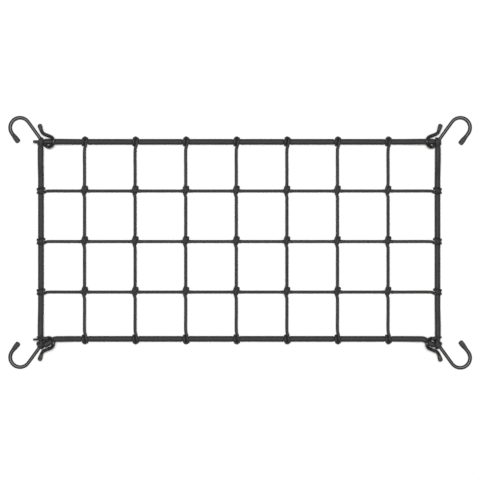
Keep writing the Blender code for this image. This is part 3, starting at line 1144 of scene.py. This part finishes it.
@dataclass
class Hook:
    """One bent wire hook with its two dipped tips."""

    corner: str
    tubes: TubeTree
    looks: Looks
    wire_radius: float = 2.6 * MM
    bend_radius: float = 15.0 * MM
    bend_centre: tuple[float, float] = (43.9 * MM, 21.6 * MM)
    shank_degrees: float = 56.0
    tip_straight_left: float = 15.2 * MM
    tip_straight_right: float = 19.0 * MM
    tip_closing_degrees: float = 4.0
    bend_swelling: float = 0.35 * MM
    swollen_run: float = 36.0 * MM
    swelling_taper: float = 30.0 * MM
    shank_drop: float = 9.6 * MM
    eye_half_width: float = 7.8 * MM
    eye_half_length: float = 8.2 * MM
    eye_half_height: float = 8.0 * MM
    eye_degrees: tuple[float, float, float] = (125.0, 200.0, 340.0)
    knee: Point = (9.6 * MM, 12.4 * MM, 1.2 * MM)
    tail: Point = (13.8 * MM, 25.2 * MM, -1.2 * MM)
    knee_cut: float = 3.0 * MM
    big_tip_radius: float = 3.9 * MM
    eye_tip_radius: float = 3.35 * MM
    tip_rounding: float = 2.6 * MM
    tip_flare: float = 0.55  # share of the tip over which it widens
    tip_nose: float = 0.25 * MM
    big_tip_length: float = 15.6 * MM
    eye_tip_length: float = 10.4 * MM
    end_wall: float = 1.5 * MM
    dip_film: float = 0.12 * MM

    def line(self) -> list[Vector]:
        """Lays out the wire from its big tip to the tail of its eye.

        Returns:
            Its centre line from the eye's middle, with X and Y out of the corner.
        """
        angle = math.radians(self.shank_degrees)
        centre = Vector((*self.bend_centre, -self.shank_drop))
        closing = math.radians(self.tip_closing_degrees)
        turned = angle - closing
        tip = centre + Vector((math.sin(turned), -math.cos(turned), 0)) * self.bend_radius
        back = Vector((math.cos(turned), math.sin(turned), 0))
        straight = self.tip_straight_left if self.corner.endswith("left") else self.tip_straight_right
        points = [tip - back * straight, tip - back * straight * 0.5]
        for i in range(17):
            turn = turned - math.pi / 2 + (math.pi + closing) * i / 16
            points.append(centre + Vector((math.cos(turn), math.sin(turn), 0)) * self.bend_radius)
        start, level_at, end = self.eye_degrees
        bend_end = points[-1]
        eye = []
        for i in range(21):
            degrees = start + (end - start) * i / 20
            turn = math.radians(degrees)
            level = -self.eye_half_height * math.sin(turn)
            blend = smoothstep((degrees - start) / (level_at - start))
            height = -self.shank_drop + (level + self.shank_drop) * blend
            across, along = self.eye_half_width * math.sin(turn), self.eye_half_length * math.cos(turn)
            eye.append(Vector((across, along, height)))
        points += [bend_end.lerp(eye[0], share) for share in (0.2, 0.5, 0.8)] + eye
        knee, tail = Vector(self.knee), Vector(self.tail)
        before = knee + (points[-1] - knee).normalized() * self.knee_cut
        after = knee + (tail - knee).normalized() * self.knee_cut
        for i in range(5):
            t = i / 4
            points.append(before * (1 - t) ** 2 + knee * 2 * t * (1 - t) + after * t**2)
        return points + [after.lerp(tail, 0.5), tail]

    def placed(self) -> list[Vector]:
        """Puts the centre line where this hook hangs.

        Returns:
            The points of the line.
        """
        hinge = next(j for j in frame["joints"] if j["name"] == f"hook_{self.corner}_swing")
        middle = Vector(hinge["pos_m"])
        sign_x = 1 if middle.x > 0 else -1
        sign_y = 1 if middle.y > 0 else -1
        return [middle + Vector((p.x * sign_x, p.y * sign_y, p.z)) for p in relaxed(self.line())]

    def dip(
        self, kind: str, end: Vector, inside: Vector, wire: float, full: float, length: float
    ) -> None:
        """Makes the dipped tip over one end of the wire.

        Args:
            kind: Which tip it is, hook_tip or eye_tip.
            end: The end of the wire.
            inside: A point of the wire before its end.
            wire: Radius of the wire there.
            full: Radius of the tip.
            length: Length of the tip.
        """
        along = (end - inside).normalized()
        last = end + along * self.end_wall
        mouth = last - along * length
        thin = wire + self.dip_film
        stations: list[Station] = []
        for i in range(25):
            share = i / 24
            point = mouth.lerp(last, share)
            left = (1 - share) * length
            swell = thin + (full - thin) * smoothstep(share / self.tip_flare)
            round_end = math.sqrt(max(0.0, 1 - max(0.0, 1 - left / self.tip_rounding) ** 2))
            radius = max(swell * round_end, self.tip_nose)
            stations.append(((point.x, point.y, max(point.z, swell + DIP_TUBE.relief)), radius))
        name = f"dipped_{kind}_{self.corner}"
        made = self.tubes.tube(name, flowing(stations, 3), DIP_TUBE, self.looks.vinyl)
        register(made, f"hook_{self.corner}", [f"{kind}_{self.corner}"])

    def build(self) -> None:
        """Makes the wire and both tips."""
        points = self.placed()
        stations: list[Station] = []
        run = 0.0
        for before, p in zip([points[0], *points], points):
            run += (p - before).length
            tapered = smoothstep((run - self.swollen_run) / self.swelling_taper)
            radius = self.wire_radius + self.bend_swelling * (1 - tapered)
            stations.append(((p.x, p.y, p.z), radius))
        wire = self.tubes.tube(f"wire_{self.corner}", flowing(stations), WIRE_TUBE, self.looks.wire)
        register(wire, f"hook_{self.corner}", [f"hook_wire_{self.corner}"])
        thick = self.wire_radius + self.bend_swelling
        thin = self.wire_radius
        self.dip("hook_tip", points[0], points[1], thick, self.big_tip_radius, self.big_tip_length)
        self.dip("eye_tip", points[-1], points[-2], thin, self.eye_tip_radius, self.eye_tip_length)


@dataclass
class Studio:
    """Floor, soft light and camera."""

    field_width: float = 0.721
    centre: tuple[float, float] = (-0.2 * MM, 4.1 * MM)
    net_height: float = 8.5 * MM
    lens_mm: float = 180.0
    sensor_mm: float = 36.0
    floor_size: float = 24.0

    def floor(self) -> None:
        """Makes the board that the net lies on."""
        mesh = bpy.data.meshes.new("board")
        half = self.floor_size / 2
        corners = [(-half, -half, 0), (half, -half, 0), (half, half, 0), (-half, half, 0)]
        mesh.from_pydata(corners, [], [(0, 1, 2, 3)])
        mesh.materials.append(WhiteBoard().material())
        board = bpy.data.objects.new("board", mesh)
        bpy.context.scene.collection.objects.link(board)

    def light(self, name: str, place: Point, size: float, watts: float) -> None:
        """Adds a square soft light that faces the middle of the net.

        Args:
            name: Its name.
            place: Where it stands.
            size: Its side.
            watts: Its power.
        """
        lamp = bpy.data.lights.new(name, "AREA")
        lamp.size = size
        lamp.energy = watts
        made = bpy.data.objects.new(name, lamp)
        made.location = place
        made.rotation_euler = (-Vector(place)).to_track_quat("-Z", "Y").to_euler()
        bpy.context.scene.collection.objects.link(made)

    def lights(self) -> None:
        """Sets a faint even room light and one soft box high above the net."""
        world = bpy.data.worlds.new("bright room")
        world.use_nodes = True
        world.node_tree.nodes["Background"].inputs[0].default_value = linear("#ffffff")
        world.node_tree.nodes["Background"].inputs[1].default_value = 0.1
        bpy.context.scene.world = world
        self.light("overhead soft box", (-0.05, 0.25, 5.2), 1.4, 285.0)
        bpy.context.scene.view_settings.view_transform = "Standard"

    def camera(self) -> None:
        """Looks straight down on the net from far away."""
        data = bpy.data.cameras.new("camera")
        data.lens = self.lens_mm
        data.sensor_width = self.sensor_mm
        data.clip_end = 100.0
        made = bpy.data.objects.new("camera", data)
        distance = self.field_width * self.lens_mm / self.sensor_mm
        made.location = (*self.centre, self.net_height + distance)
        bpy.context.scene.collection.objects.link(made)
        bpy.context.scene.camera = made

    def build(self) -> None:
        """Makes the floor, the lights and the camera."""
        self.floor()
        self.lights()
        self.camera()


def clear_startup() -> None:
    """Removes what the startup scene holds besides the frame."""
    kept = {obj.name for obj in frame["nodes"].values()} | {obj.name for obj in frame["bodies"].values()}
    for obj in list(bpy.data.objects):
        if obj.name not in kept:
            bpy.data.objects.remove(obj, do_unlink=True)


def main() -> None:
    """Builds the classes in order."""
    logging.basicConfig(level=logging.INFO, format="%(message)s")
    clear_startup()
    Studio().build()
    layout = Layout.from_frame()
    tubes = TubeTree()
    looks = Looks.make()
    BorderCords(layout, tubes, looks).build()
    MeshCords(layout, tubes, looks).build()
    CornerBindings(layout, tubes, looks).build()
    for corner in ("top_left", "top_right", "bottom_left", "bottom_right"):
        Hook(corner, tubes, looks).build()


if __name__ == "__main__":
    main()
